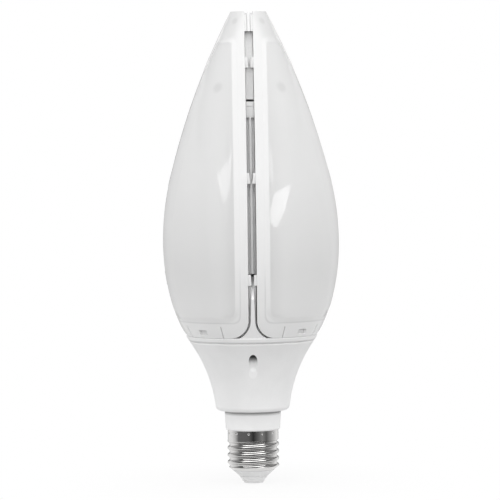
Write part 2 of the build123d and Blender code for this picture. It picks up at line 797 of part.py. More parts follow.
# Cap shell: rolled knuckle thread between the lower cone and the skirt
thread_middle = thread_pitch * half
edge_rise = thread_arc - sqrt(thread_arc**2 - (thread_middle - thread_half) ** 2)
flank_rise = thread_depth * half
flank_half = thread_middle * half
root_half = (flank_half + thread_half) * half
root_rise = thread_arc - sqrt(thread_arc**2 - (thread_middle - root_half) ** 2)
cone_slope = (cone_head[0] - cone_foot[0]) / (cone_head[1] - cone_foot[1])
shell_foot_radius = cone_foot[0] + (shell_foot - cone_foot[1]) * cone_slope
crest_foot = cone_head[1] + (thread_crest - cone_head[0]) / cone_slope
cone_wall = shell_wall * sqrt(1 + cone_slope**2)
inside_head = cone_head[1] + (cone_wall - shell_wall) / cone_slope
with BuildPart() as cap_shell:
    with BuildLine():
        helix = Helix(thread_pitch, thread_pitch * thread_turns, thread_root, center=(0, 0, thread_start))
    with BuildSketch(Plane(origin=helix @ 0, x_dir=(1, 0, 0), z_dir=helix % 0)):
        with BuildLine():
            Polyline(
                (edge_rise, -thread_half),
                (-thread_sunk, -thread_half),
                (-thread_sunk, thread_half),
                (edge_rise, thread_half),
            )
            ThreePointArc((edge_rise, thread_half), (root_rise, root_half), (flank_rise, flank_half))
            ThreePointArc((flank_rise, flank_half), (thread_depth, 0), (flank_rise, -flank_half))
            ThreePointArc((flank_rise, -flank_half), (root_rise, -root_half), (edge_rise, -thread_half))
        make_face()
    sweep(path=helix, is_frenet=True)
    with BuildSketch(Plane.XZ):
        Polygon(
            (0, shell_foot),
            (shell_foot_radius, shell_foot),
            (thread_crest, crest_foot),
            (thread_crest, thread_fade),
            (skirt_radius, skirt_foot),
            (0, skirt_foot),
            align=None,
        )
    revolve(axis=Axis.Z, mode=Mode.INTERSECT)
    with BuildSketch(Plane.XZ):
        Polygon(
            (0, shell_foot),
            (shell_foot_radius, shell_foot),
            cone_head,
            (thread_root, shoulder_foot),
            (skirt_radius, skirt_foot),
            (skirt_radius, neck_foot),
            (0, neck_foot),
            align=None,
        )
    revolve(axis=Axis.Z)
    with BuildSketch(Plane.XZ):
        Polygon(
            (0, shell_foot),
            (shell_foot_radius - cone_wall, shell_foot),
            (thread_root - shell_wall, inside_head),
            (thread_root - shell_wall, shoulder_foot),
            (skirt_radius - shell_wall, skirt_foot),
            (skirt_radius - shell_wall, neck_foot),
            (0, neck_foot),
            align=None,
        )
    revolve(axis=Axis.Z, mode=Mode.SUBTRACT)
cap_shell.part.label = "cap_shell"
export_step(cap_shell.part, "parts/cap_shell.step")

# Cap insulator and centre contact
inside_radius = thread_root - shell_wall - cap_play
inside_foot_radius = shell_foot_radius - cone_wall - cap_play
with BuildPart() as cap_insulator:
    with BuildSketch(Plane.XZ):
        Polygon(
            (nail_radius + nail_play, contact_tall),
            (cone_foot[0] - contact_edge, contact_tall),
            cone_foot,
            (shell_foot_radius - cap_play * cone_slope, shell_foot - cap_play),
            (inside_foot_radius, shell_foot - cap_play),
            (inside_foot_radius, shell_foot),
            (inside_radius, inside_head),
            (inside_radius, insulator_top),
            (nail_radius + nail_play, insulator_top),
            align=None,
        )
    revolve(axis=Axis.Z)
cap_insulator.part.label = "cap_insulator"
export_step(cap_insulator.part, "parts/cap_insulator.step")

with BuildPart() as centre_contact:
    with BuildSketch(Plane.XZ):
        Polygon(
            (0, 0),
            (contact_flat, 0),
            (contact_radius, contact_tall - contact_edge),
            (contact_radius - contact_edge, contact_tall),
            (nail_radius, contact_tall),
            (nail_radius, nail_top),
            (0, nail_top),
            align=None,
        )
    revolve(axis=Axis.Z)
centre_contact.part.label = "centre_contact"
export_step(centre_contact.part, "parts/centre_contact.step")

# Driver board and the parts on it
with BuildPart() as driver_board:
    with Locations((0, 0, (driver_foot + driver_top) * half)):
        Box(driver_width, driver_thick, driver_top - driver_foot)
driver_board.part.label = "driver_board"
export_step(driver_board.part, "parts/driver_board.step")

for name, (size, place) in driver_parts.items():
    with BuildPart() as component:
        with Locations(place):
            Box(*size)
        fillet(edges().filter_by(Axis.Y), part_round)
    component.part.label = name
    export_step(component.part, f"parts/{name}.step")

with BuildPart() as driver_capacitor:
    with Locations(capacitor_place):
        Cylinder(capacitor_radius, capacitor_tall, align=(Align.CENTER, Align.CENTER, Align.MIN))
    fillet(edges().group_by(Axis.Z)[-1], part_round)
driver_capacitor.part.label = "driver_capacitor"
export_step(driver_capacitor.part, "parts/driver_capacitor.step")

with BuildPart() as driver_choke:
    with Locations(choke_place):
        Cylinder(choke_radius, choke_tall, align=(Align.CENTER, Align.CENTER, Align.MIN))
    chamfer(edges().filter_by(GeomType.CIRCLE), part_round)
driver_choke.part.label = "driver_choke"
export_step(driver_choke.part, "parts/driver_choke.step")

with BuildPart() as output_terminal:
    with BuildSketch(Plane.XY.offset(driver_top)):
        RectangleRounded(terminal_side, terminal_side, part_round, rotation=petal_angle)
    extrude(amount=terminal_tall)
output_terminal.part.label = "output_terminal"
export_step(output_terminal.part, "parts/output_terminal.step")

# Leads: live to the contact's nail, neutral to the shell, a pair from the terminal to each LED board
with BuildPart() as live_lead:
    with BuildSketch(Plane.XY.offset(nail_top + lead_play)):
        with Locations(live_place):
            Circle(lead_radius)
    extrude(amount=live_top - nail_top - lead_play)
live_lead.part.label = "live_lead"
export_step(live_lead.part, "parts/live_lead.step")

neutral_end = sqrt(inside_radius**2 - (neutral_place[1] + lead_radius) ** 2)
with BuildPart() as neutral_lead:
    with BuildLine(Plane.XZ.offset(-neutral_place[1])) as neutral_route:
        FilletPolyline(
            (neutral_place[0], live_top),
            (neutral_place[0], neutral_low),
            (neutral_end, neutral_low),
            radius=lead_bend,
        )
    with BuildSketch(Plane(origin=neutral_route.line @ 0, z_dir=neutral_route.line % 0)):
        Circle(lead_radius)
    sweep(path=neutral_route.line)
neutral_lead.part.label = "neutral_lead"
export_step(neutral_lead.part, "parts/neutral_lead.step")

with BuildPart() as lead_pair:
    for side in (-1, 1):
        with BuildLine(section(petal_angle).offset(side * lead_spread)) as lead_route:
            FilletPolyline(
                (lead_circle, board_foot + lead_pad_rise),
                (lead_circle, lead_low),
                (terminal_side * half + lead_play, lead_low),
                radius=lead_bend,
            )
        with BuildSketch(Plane(origin=lead_route.line @ 0, z_dir=lead_route.line % 0)):
            Circle(lead_radius)
        sweep(path=lead_route.line)
led_leads = four_times(lead_pair.part)
led_leads.label = "led_leads"
export_step(led_leads, "parts/led_leads.step")
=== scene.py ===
import math

import bmesh
import bpy
from mathutils import Matrix, Quaternion, Vector


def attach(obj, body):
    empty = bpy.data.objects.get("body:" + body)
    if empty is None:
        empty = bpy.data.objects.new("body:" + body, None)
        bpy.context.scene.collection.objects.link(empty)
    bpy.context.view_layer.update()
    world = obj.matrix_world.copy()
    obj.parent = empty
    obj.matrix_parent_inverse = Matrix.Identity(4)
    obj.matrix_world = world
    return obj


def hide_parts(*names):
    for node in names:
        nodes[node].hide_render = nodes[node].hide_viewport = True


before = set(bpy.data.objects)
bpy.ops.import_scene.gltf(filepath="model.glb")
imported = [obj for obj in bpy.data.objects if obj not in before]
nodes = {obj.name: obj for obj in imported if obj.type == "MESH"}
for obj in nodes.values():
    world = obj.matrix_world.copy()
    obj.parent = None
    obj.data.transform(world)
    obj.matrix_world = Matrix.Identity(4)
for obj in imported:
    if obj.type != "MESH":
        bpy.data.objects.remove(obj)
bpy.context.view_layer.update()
scene = bpy.context.scene
mm = 0.001
print("frame loaded:", len(nodes), "CAD nodes")


# the camera stands a metre and a half off, at seven tenths of the lamp's height, a touch to the left
camera = {
    "distance": 1.5,
    "height": 0.170,
    "turn": 0.9,  # degrees to the left of the front gap
    "roll": -0.7,  # degrees, the tip leans to the left
    "middle": (-0.00044, 0.1188),  # sideways and upward, metres
    "width": 0.2549,  # what the frame covers at the axis
    "sensor": 36.0,
    "reach": 50.0,  # how far it sees
}


def placeCamera(c):
    data = bpy.data.cameras.new("camera")
    data.sensor_fit = "HORIZONTAL"
    data.sensor_width = c["sensor"]
    data.lens = c["sensor"] * c["distance"] / c["width"]
    data.clip_end = c["reach"]
    turn = math.radians(c["turn"])
    eye = Vector((-math.sin(turn), -math.cos(turn), 0)) * c["distance"]
    eye.z = c["height"]
    target = Vector((c["middle"][0], 0, c["middle"][1]))
    stand = bpy.data.objects.new("camera", data)
    stand.rotation_mode = "QUATERNION"
    look = (target - eye).to_track_quat("-Z", "Y")
    stand.rotation_quaternion = look @ Quaternion((0, 0, 1), math.radians(c["roll"]))
    stand.location = eye
    scene.collection.objects.link(stand)
    scene.camera = stand


placeCamera(camera)
print("camera placed")


# a socket of a node tree that takes plain arithmetic
class Wire:
    def __init__(self, tree, socket=None):
        self.tree = tree
        self.socket = socket

    def node(self, kind, settings=None, plugs=None, out=0):
        made = self.tree.nodes.new(kind)
        for name, value in (settings or {}).items():
            if name == "stops":
                self.fillRamp(made.color_ramp, value)
            else:
                setattr(made, name, value)
        for key, value in (plugs or {}).items():
            if isinstance(value, Wire):
                self.tree.links.new(value.socket, made.inputs[key])
            else:
                made.inputs[key].default_value = value
        return Wire(self.tree, made.outputs[out])

    def fillRamp(self, ramp, stops):
        while len(ramp.elements) < len(stops):
            ramp.elements.new(1)
        for element, (place, colour) in zip(ramp.elements, stops):
            element.position = place
            element.color = colour

    def maths(self, operation, *values):
        return self.node("ShaderNodeMath", {"operation": operation}, dict(enumerate(values)))

    def __add__(self, other):
        return self.maths("ADD", self, other)

    def __sub__(self, other):
        return self.maths("SUBTRACT", self, other)

    def __rsub__(self, other):
        return self.maths("SUBTRACT", other, self)

    def __mul__(self, other):
        return self.maths("MULTIPLY", self, other)

    def __truediv__(self, other):
        return self.maths("DIVIDE", self, other)

    def __neg__(self):
        return self.maths("MULTIPLY", self, -1)

    def __abs__(self):
        return self.maths("ABSOLUTE", self)

    __radd__ = __add__
    __rmul__ = __mul__

    def low(self, other):
        return self.maths("MINIMUM", self, other)

    def high(self, other):
        return self.maths("MAXIMUM", self, other)

    def length(self, other):  # of the two as sides of a right angle
        return self.maths("SQRT", self * self + other * other)

    def step(self, start, end):  # 0 before start, 1 after end, smooth between
        settings = {"interpolation_type": "SMOOTHSTEP"}
        plugs = {"Value": self, "From Min": start, "From Max": end}
        return self.node("ShaderNodeMapRange", settings, plugs)

    def bell(self, width):  # 1 at zero, fading out over width
        return 1 - abs(self).step(0, width)

    def blend(self, first, second):  # colours, this wire as the factor
        settings = {"data_type": "RGBA"}
        return self.node("ShaderNodeMix", settings, {"Factor": self, 6: first, 7: second}, 2)

    def noise(self, place, scale, detail=3, rough=0.55):
        plugs = {"Vector": place, "Scale": scale, "Detail": detail, "Roughness": rough}
        return self.node("ShaderNodeTexNoise", {}, plugs)

    def bump(self, distance, strength=1.0):  # this wire is a height in units of distance
        plugs = {"Height": self, "Distance": distance, "Strength": strength}
        return self.node("ShaderNodeBump", {}, plugs)

    def stretch(self, vector, amounts):
        return self.node("ShaderNodeVectorMath", {"operation": "MULTIPLY"}, {0: vector, 1: amounts})

    def split(self, vector):  # its three parts
        parts = self.node("ShaderNodeSeparateXYZ", {}, {"Vector": vector}).socket.node.outputs
        return [Wire(self.tree, part) for part in parts]

    def show(self):  # as the surface of the finish
        output = self.tree.nodes["Material Output"]
        self.tree.links.new(self.socket, output.inputs["Surface"])


def grey(level, warmth=0.0):
    return (level * (1 + warmth), level, level * (1 - warmth), 1)


moulded = {"IOR": 1.5}  # gloss of every plastic
white = grey(1)


# an empty finish, with the place on the object in millimetres
def openFinish(name, fixed):
    finish = bpy.data.materials.new(name)
    finish.use_nodes = True
    tree = finish.node_tree
    shader = tree.nodes["Principled BSDF"]
    for socket, value in fixed.items():
        shader.inputs[socket].default_value = value
    start = Wire(tree)
    metres = start.node("ShaderNodeTexCoord", out=3)
    place = start.stretch(metres, (1 / mm, 1 / mm, 1 / mm))
    return finish, start, place


def closeFinish(finish, varying):
    shader = finish.node_tree.nodes["Principled BSDF"]
    for socket, wire in varying.items():
        finish.node_tree.links.new(wire.socket, shader.inputs[socket])
    return finish


# petals: moulded milky shells, measures in millimetres, mostly as the CAD has them
petal = {
    "height": 240.0,
    "tipRadius": 10.1,
    "bulge": 45.45,  # largest radius
    "middle": 122.8,  # height of the bulge
    "footRadius": 34.4,
    "upperArc": (140.0, 13.8),  # radius, and degrees up from the bulge
    "lowerArc": (115.0, 15.6),  # radius, and degrees down from the bulge
    "foot": 75.7,
    "gapHalf": 2.1,
    "corner": 9.0,
    "panelEdge": 8.8,  # from the middle of the gap
    "panelFoot": 86.0,
    "panelTop": 224.2,
    "panelCorner": 6.5,
    "panelTopCorner": 1.2,
    "panelStep": 0.7,
    "bandWidth": 2.6,  # slope between the panel and its border
    "skin": 1.7,
    "edgeRound": 0.45,
    "edgeSoft": 0.25,
    "lugHeights": (105.2, 155.7, 213.8),
    "lugTall": 5.4,
    "lugProud": ((1.45, 1.3), (1.7, 1.05), (1.7, 1.05)),  # at foot and head
    "lugDepth": 2.6,
    "lugSunk": 1.0,
    "lugRoot": 0.8,  # how far it goes into the side wall
    "lugSoft": 0.3,
    "padRadius": 4.3,
    "padProud": 0.15,
    "padSoft": 0.3,
    "slitTop": 81.5,
    "latchHeight": 78.4,
    "latchTall": 2.4,
    "tabFoot": 229.7,
    "tabTop": 238.2,
    "tabEdge": 0.92,
    "tabInset": 1.1,
    "tabRoot": 0.5,  # how far it goes into the side wall
    "tabDepth": 3.0,
    "tabSoft": 0.15,
    # painted shadows of the inner pins and the tip's hooks, as they show through the milky shell
    "pinShadow": (4.3, 201.2, 3.6),  # towards the front or rear gap, upward, and its radius
    "tipShadow": (1.9, 235.0, 2.3),
    "wallEnd": (13.1, 194.0, 6.6),  # the side wall's inner end, where it turns in, its end at the tip
}


def secondArc(firstArc, endRadius, endRise):  # radius of the arc that goes on from the first to the end
    radius, turn = firstArc[0], math.radians(firstArc[1])
    run = petal["bulge"] - radius * (1 - math.cos(turn)) - endRadius
    climb = endRise - radius * math.sin(turn)
    return math.hypot(run, climb) / 2 / math.sin(math.atan2(run, climb) - turn)


upperSecond = secondArc(petal["upperArc"], petal["tipRadius"], petal["height"] - petal["middle"])
lowerSecond = secondArc(petal["lowerArc"], petal["footRadius"], petal["middle"] - petal["foot"])


def budRadius(height, inset):  # the bud's outline, set in by an amount
    rise = height - petal["middle"]
    first, turn = petal["upperArc"] if rise > 0 else petal["lowerArc"]
    second = upperSecond if rise > 0 else lowerSecond
    turn, rise = math.radians(turn), abs(rise)
    if rise <= (first - inset) * math.sin(turn):
        return petal["bulge"] - first + math.sqrt((first - inset) ** 2 - rise**2)
    centreRadius = petal["bulge"] - first + (first - second) * math.cos(turn)
    centreRise = (first - second) * math.sin(turn)
    return centreRadius + math.sqrt((second - inset) ** 2 - (rise - centreRise) ** 2)


def edgeOf(height):  # distance of the petal's edge from the middle of its gap
    drop = petal["foot"] + petal["corner"] - height
    if drop <= 0:
        return petal["gapHalf"]
    inside = max(petal["corner"] ** 2 - drop**2, 0)
    return petal["gapHalf"] + petal["corner"] - math.sqrt(inside)


def ease(value, start, end):
    t = min(max((value - start) / (end - start), 0), 1)
    return t * t * (3 - 2 * t)


def roundedIn(a, b, radius):  # distance inside a corner of two edges
    if a < radius and b < radius:
        return radius - math.hypot(radius - a, radius - b)
    return min(a, b)


def panelDepth(gapDistance, height):  # distance inside the raised panel, negative outside it
    side = gapDistance - petal["panelEdge"]
    low = roundedIn(side, height - petal["panelFoot"], petal["panelCorner"])
    high = roundedIn(side, petal["panelTop"] - height, petal["panelTopCorner"])
    return min(low, high)


def skinRadius(gapDistance, height):
    border = budRadius(height, petal["panelStep"])
    panel = budRadius(height, 0)
    slope = min(max(panelDepth(gapDistance, height) / petal["bandWidth"] + 1, 0), 1)
    padStart, padEnd = petal["padRadius"] - petal["padSoft"], petal["padRadius"] + petal["padSoft"]
    pad = 0
    for lug in petal["lugHeights"]:
        reach = math.hypot(gapDistance, height - lug)
        pad += petal["padProud"] * (1 - ease(reach, padStart, padEnd))
    return max(border + (panel - border) * slope, border + pad)


# the petal's mesh: rows by height, and columns out from each gap's edge, then by azimuth to the crest
petalGrid = {
    "fineStep": 0.5,
    "coarseStep": 1.6,
    "leastStep": 0.04,
    "margin": 1.0,  # fine rows past a feature
    "cornerStep": 6,  # degrees
    "tabStep": 2,
    "wall": 5,  # columns on the side wall
    "edgeTurns": (90, 60, 30),  # degrees round the outer edge
    "border": (0.45, 0.9, 1.5, 2.2, 2.9, 3.5, 3.9, 4.1, 4.35,
               4.7, 5.3, 5.9, 6.35, 6.6, 6.8, 7.1, 7.8, 8.6),
    "middle": (21.4, 19.4, 18.6, 15.5, 12.6, 9.8, 7.1, 4.5, 2.2),  # degrees from the crest
    "narrow": (11, 2, 133),  # degrees lost towards the tip, from so far over the slits, over this height
    "room": 0.92,  # share of the space beside the middle that the border takes
    "inPanel": 20,  # a distance from the gap that lies in the panel
    "settle": 3,  # rounds that bring a middle column onto the skin
    "slitColumn": 1,  # counted from the border
    "latchColumn": 7,  # from here to the crest
    "match": 0.01,  # rows this near are the same
    "weld": 0.002,
    "sliver": 0.001,
    "crestBelow": 150,  # height under which the crest is looked for
    "softSteps": 2,
    "softProfile": 0.6,
    "softAngle": 50,  # degrees
    "sharpAngle": 38,  # degrees
}


def spread(start, end, step):
    count = max(int(round((end - start) / step)), 1)
    return [start + (end - start) * i / count for i in range(count)]


def petalRows():
    p, g = petal, petalGrid
    margin = g["margin"]
    shoulder = p["foot"] + p["corner"]
    turns = range(0, 90 + 1, g["cornerStep"])
    rows = [shoulder - p["corner"] * math.cos(math.radians(turn)) for turn in turns]
    rows += [p["slitTop"], p["latchHeight"] - p["latchTall"] / 2, p["latchHeight"] + p["latchTall"] / 2]
    fine = [(p["panelFoot"] - p["bandWidth"] - margin, p["panelFoot"] + p["panelCorner"] + 2 * margin)]
    fine += [(lug - p["padRadius"] - margin, lug + p["padRadius"] + margin) for lug in p["lugHeights"]]
    fine += [(p["panelTop"] - 3 * margin, p["panelTop"] + p["bandWidth"] + margin)]
    rows += spread(fine[0][0], shoulder, g["fineStep"])
    height = shoulder
    while height < p["height"]:
        rows.append(height)
        isFine = any(low < height < high for low, high in fine)
        height += g["fineStep"] if isFine else g["coarseStep"]
    rows += [p["tabTop"], p["height"]]
    rows = sorted(set(round(r, 4) for r in rows))
    return [r for i, r in enumerate(rows) if i == 0 or r - rows[i - 1] > g["leastStep"]]


def wallEnd(height, edge):  # where the side wall stops, at the core
    limit, turn, last = petal["wallEnd"]
    if height > turn:
        limit -= (height - turn) / (petal["tabTop"] - turn) * (limit - last)
    if height >= petal["tabTop"]:
        limit = petal["gapHalf"] * math.sqrt(2)
    return max(limit * math.sqrt(2) - edge, petal["gapHalf"])


def petalRow(height):  # points of one row in millimetres, from one gap's wall round to the other's
    p, g = petal, petalGrid
    edge = edgeOf(height)
    widest = g["middle"][0]
    lost, above, tall = g["narrow"]
    halfMiddle = widest - lost * min(max((height - p["slitTop"] - above) / tall, 0), 1)
    panelRadius = skinRadius(g["inPanel"], height)
    room = (panelRadius * math.sin(math.radians(45 - halfMiddle)) - edge) * g["room"]
    squeeze = min(1, room / g["border"][-1])
    turnRadius = p["edgeRound"] * squeeze
    turnEnd = edge + turnRadius
    wallTop = math.sqrt(skinRadius(turnEnd, height) ** 2 - turnEnd**2) - turnRadius
    wallFoot = wallEnd(height, edge)
    half = [(edge, wallFoot + (wallTop - wallFoot) * i / g["wall"]) for i in range(g["wall"])]
    for turn in g["edgeTurns"]:
        a = math.radians(turn)
        half.append((edge + turnRadius * (1 - math.sin(a)), wallTop + turnRadius * math.cos(a)))
    for column in g["border"]:
        x = edge + column * squeeze
        half.append((x, math.sqrt(skinRadius(x, height) ** 2 - x * x)))
    for column in g["middle"]:
        a = math.radians(45 + column / widest * halfMiddle)
        radius = panelRadius
        for _ in range(g["settle"]):
            radius = skinRadius(radius * math.cos(a), height)
        half.append((radius * math.cos(a), radius * math.sin(a)))
    crest = skinRadius(panelRadius * math.cos(math.pi / 4), height) / math.sqrt(2)
    row = half + [(crest, crest)] + [(y, x) for x, y in reversed(half)]
    return [(x, y, height) for x, y in row]


def isOpen(row, nextRow, column):  # true where a slit or the latch window is
    p, g = petal, petalGrid
    offset = column - g["wall"] - len(g["edgeTurns"]) - len(g["border"])
    offset = min(offset, 2 * len(g["middle"]) - 1 - offset)
    if offset == g["slitColumn"]:
        return nextRow <= p["slitTop"] + g["match"]
    low = p["latchHeight"] - p["latchTall"] / 2 - g["match"]
    high = p["latchHeight"] + p["latchTall"] / 2 + g["match"]
    return offset >= g["latchColumn"] and row >= low and nextRow <= high


def crestReach(face):  # largest for a face on the petal's crest
    middle = face.calc_center_median()
    return middle.length_squared if middle.z < petalGrid["crestBelow"] * mm else 0


def petalSheet():
    p, g = petal, petalGrid
    sheet = bmesh.new()
    rows = petalRows()
    grid = [[sheet.verts.new(Vector(point) * mm) for point in petalRow(height)] for height in rows]
    for i in range(len(rows) - 1):
        for j in range(len(grid[0]) - 1):
            if not isOpen(rows[i], rows[i + 1], j):
                sheet.faces.new((grid[i][j], grid[i][j + 1], grid[i + 1][j + 1], grid[i + 1][j]))
    corner = Vector((p["gapHalf"], p["gapHalf"], p["height"])) * mm
    roofEdge = grid[-1][g["wall"] : -g["wall"]]
    ring = roofEdge
    for i in range(1, g["wall"] + 1):  # flat roof of the tip
        inner = [sheet.verts.new(v.co.lerp(corner, i / g["wall"])) for v in roofEdge]
        for j in range(len(ring) - 1):
            sheet.faces.new((ring[j], ring[j + 1], inner[j + 1], inner[j]))
        ring = inner
    bmesh.ops.remove_doubles(sheet, verts=sheet.verts, dist=g["weld"] * mm)
    bmesh.ops.dissolve_degenerate(sheet, edges=sheet.edges, dist=g["sliver"] * mm)
    bmesh.ops.recalc_face_normals(sheet, faces=sheet.faces)
    crest = max(sheet.faces, key=crestReach)
    if crest.normal.dot(Vector((1, 1, 0))) < 0:
        bmesh.ops.reverse_faces(sheet, faces=sheet.faces)
    mesh = bpy.data.meshes.new("petalSheet")
    sheet.to_mesh(mesh)
    sheet.free()
    return mesh


def addHull(shape, points, bevel):  # a small moulded block with soft edges
    g = petalGrid
    verts = [shape.verts.new(Vector(point) * mm) for point in points]
    made = bmesh.ops.convex_hull(shape, input=verts)
    edges = [e for e in made["geom"] if isinstance(e, bmesh.types.BMEdge)]
    soft = {"offset": bevel * mm, "segments": g["softSteps"], "profile": g["softProfile"]}
    bmesh.ops.bevel(shape, geom=edges, affect="EDGES", **soft)


def addLugs(shape):
    p = petal
    for height, (footProud, headProud) in zip(p["lugHeights"], p["lugProud"]):
        outer = budRadius(height, p["panelStep"]) - p["lugSunk"]
        root = p["gapHalf"] + p["lugRoot"]
        low, high = height - p["lugTall"] / 2, height + p["lugTall"] / 2
        section = [
            (root, low),
            (p["gapHalf"] - footProud, low),
            (p["gapHalf"] - headProud, high),
            (root, high),
        ]
        for swap in (False, True):
            points = []
            for depth in (outer, outer - p["lugDepth"]):
                points += [(depth, x, z) if swap else (x, depth, z) for x, z in section]
            addHull(shape, points, p["lugSoft"])


def addTabs(shape):
    p = petal
    heights = spread(p["tabFoot"], p["tabTop"], petalGrid["tabStep"]) + [p["tabTop"]]
    for swap in (False, True):
        points = []
        for z in heights:
            for x in (p["tabEdge"], p["gapHalf"] + p["tabRoot"]):
                outer = math.sqrt(budRadius(z, p["tabInset"]) ** 2 - x * x)
                for y in (outer, outer - p["tabDepth"]):
                    points.append((y, x, z) if swap else (x, y, z))
        addHull(shape, points, p["tabSoft"])


def petalMesh():
    p, g = petal, petalGrid
    draft = bpy.data.objects.new("petalSheet", petalSheet())
    scene.collection.objects.link(draft)
    thick = draft.modifiers.new("skin", "SOLIDIFY")
    thick.thickness = p["skin"] * mm
    thick.offset = -1
    soft = draft.modifiers.new("edges", "BEVEL")
    soft.width = p["edgeSoft"] * mm
    soft.segments = g["softSteps"]
    soft.limit_method = "ANGLE"
    soft.angle_limit = math.radians(g["softAngle"])
    bpy.context.view_layer.update()
    finished = draft.evaluated_get(bpy.context.evaluated_depsgraph_get())
    solid = bpy.data.meshes.new_from_object(finished)
    bpy.data.objects.remove(draft)
    shape = bmesh.new()
    shape.from_mesh(solid)
    addLugs(shape)
    addTabs(shape)
    for face in shape.faces:
        face.smooth = True
    shape.to_mesh(solid)
    shape.free()
    solid.set_sharp_from_angle(angle=math.radians(g["sharpAngle"]))
    return solid


petalLook = {
    "border": 0.965,
    "panel": 0.97,
    "panelBlur": 0.2,
    "tip": 0.93,
    "tipStart": (-2, 2),  # over the panel's top
    "tipSide": (6, 10),  # from the gap
    "tipLean": 0.35,
    "borderPass": 0.07,  # share of the light that goes through
    "panelPass": (0.12, 0.25, 0.24),  # at the foot, halfway and at the top
    "passHeights": ((86, 112), (130, 225)),  # from the foot's to halfway's, and on to the top's
    "tipPass": 0.19,
    # painted shade on the panel along its border, fading out towards the top
    "edgeShade": 0.06,
    "edgeReach": 8,
    "edgeHeights": (228, 150),
    # painted shadow line at the foot of the slope round the panel, on the lower petal
    "stepShadow": 0.12,
    "creaseWidth": 0.6,
    "creaseHeights": (115, 95),
    # painted shadows of the pins and tip hooks seen through the shell
    "spot": 0.10,
    "spotCore": 0.3,  # share of a spot that is fully shaded
    "cloud": (0.06, 0.02),  # scale and strength
    "blue": 0.998,
    "roughness": 0.06,
    "smear": (0.25, 0.03),  # scale and strength of the roughness's changes
    "grain": (1.6, 0.000012, 0.15),  # scale, depth in metres and strength
}


def petalFinish(look):
    p = petal
    finish, start, place = openFinish("petalMilk", moulded)
    x, y, z = start.split(place)
    gap = abs(x).low(abs(y))
    side = gap - p["panelEdge"]
    low = z - p["panelFoot"]
    high = p["panelTop"] - z
    inset = start.maths("SMOOTH_MIN", side, low, p["panelCorner"])
    inset = start.maths("SMOOTH_MIN", inset, high, p["panelTopCorner"])
    panel = inset.step(-look["panelBlur"], look["panelBlur"])
    over = z - p["panelTop"]
    tip = over.step(*look["tipStart"]) * (gap + over * look["tipLean"]).step(*look["tipSide"])
    across = (abs(x) - abs(y)) * math.sqrt(0.5)
    # painted shadows of the inner pins and tip hooks that show through the shell
    spotShadows = 0
    for aside, height, size in (p["pinShadow"], p["tipShadow"]):
        away = (across + aside).length(z - height)
        spotShadows = spotShadows + 1 - away.step(size * look["spotCore"], size)
    # painted shade on the panel along its border, stronger lower down
    shade = panel * (1 - side.step(0, look["edgeReach"])) * z.step(*look["edgeHeights"])
    # painted shadow line at the foot of the panel's slope, only on the lower petal
    stepShadow = (inset + p["bandWidth"]).bell(look["creaseWidth"]) * z.step(*look["creaseHeights"])
    scale, strength = look["cloud"]
    cloud = (start.noise(place, scale, 2) - 0.5) * strength
    tone = look["border"] + (look["panel"] - look["border"]) * panel
    tone = tone + (look["tip"] - look["border"]) * tip
    tone = tone - shade * look["edgeShade"] - stepShadow * look["stepShadow"] - spotShadows * look["spot"] + cloud
    parts = {"Red": tone, "Green": tone, "Blue": tone * look["blue"]}
    colour = start.node("ShaderNodeCombineColor", {}, parts)
    scale, strength = look["smear"]
    roughness = look["roughness"] + (start.noise(place, scale, 3) - 0.5) * strength
    scale, depth, strength = look["grain"]
    normal = start.noise(place, scale, 2).bump(depth, strength)
    closeFinish(finish, {"Base Color": colour, "Roughness": roughness, "Normal": normal})
    foot, half, top = look["panelPass"]
    lower, upper = look["passHeights"]
    panelPass = foot + (half - foot) * z.step(*lower) + (top - half) * z.step(*upper)
    share = look["borderPass"] + (panelPass - look["borderPass"]) * panel
    share = share + (look["tipPass"] - look["borderPass"]) * tip
    shader = Wire(start.tree, start.tree.nodes["Principled BSDF"].outputs[0])
    through = start.node("ShaderNodeBsdfTranslucent", {}, {"Color": grey(look["panel"])})
    start.node("ShaderNodeMixShader", {}, {0: share, 1: shader, 2: through}).show()
    return finish


milk = petalFinish(petalLook)
firstPetal = petalMesh()
firstPetal.name = "petal"
firstPetal.materials.clear()
firstPetal.materials.append(milk)
petalGroup = bpy.data.collections.new("petals")
for quarter, side in enumerate(("rear_right", "rear_left", "front_left", "front_right")):
    mesh = firstPetal.copy()
    mesh.transform(Matrix.Rotation(quarter * math.pi / 2, 4, "Z"))
    piece = bpy.data.objects.new("petalShell_" + side, mesh)
    scene.collection.objects.link(piece)
    petalGroup.objects.link(piece)
    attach(piece, "root")
    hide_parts("petal_" + side)
print("petals:", len(firstPetal.polygons), "faces each")


# moulded plastic with faint flow clouds and a fine grain
plastic = {
    "cloudScale": 0.08,
    "cloud": 1.2,
    "cloudRough": 0.08,
    "speckScale": 2.2,
    "speck": 0.5,
    "speckRough": 0.05,
    "grain": 0.35,
    "grainDepth": 0.00002,  # metres
}


def plasticFinish(name, own, shade=None):
    look = plastic | own
    finish, start, place = openFinish(name, moulded)
    cloud = start.noise(place, look["cloudScale"], 3) - 0.5
    speck = start.noise(place, look["speckScale"], 4) - 0.5
    mix = (cloud * look["cloud"] + speck * look["speck"] + 0.5).step(0, 1)
    colour = mix.blend(look["dark"], look["light"])
    for mask, tone in shade(*start.split(place)) if shade else []:
        colour = mask.blend(colour, tone)
    roughness = look["roughness"] + cloud * look["cloudRough"] + speck * look["speckRough"]
    normal = speck.bump(look["grainDepth"], look["grain"])
    return closeFinish(finish, {"Base Color": colour, "Roughness": roughness, "Normal": normal})


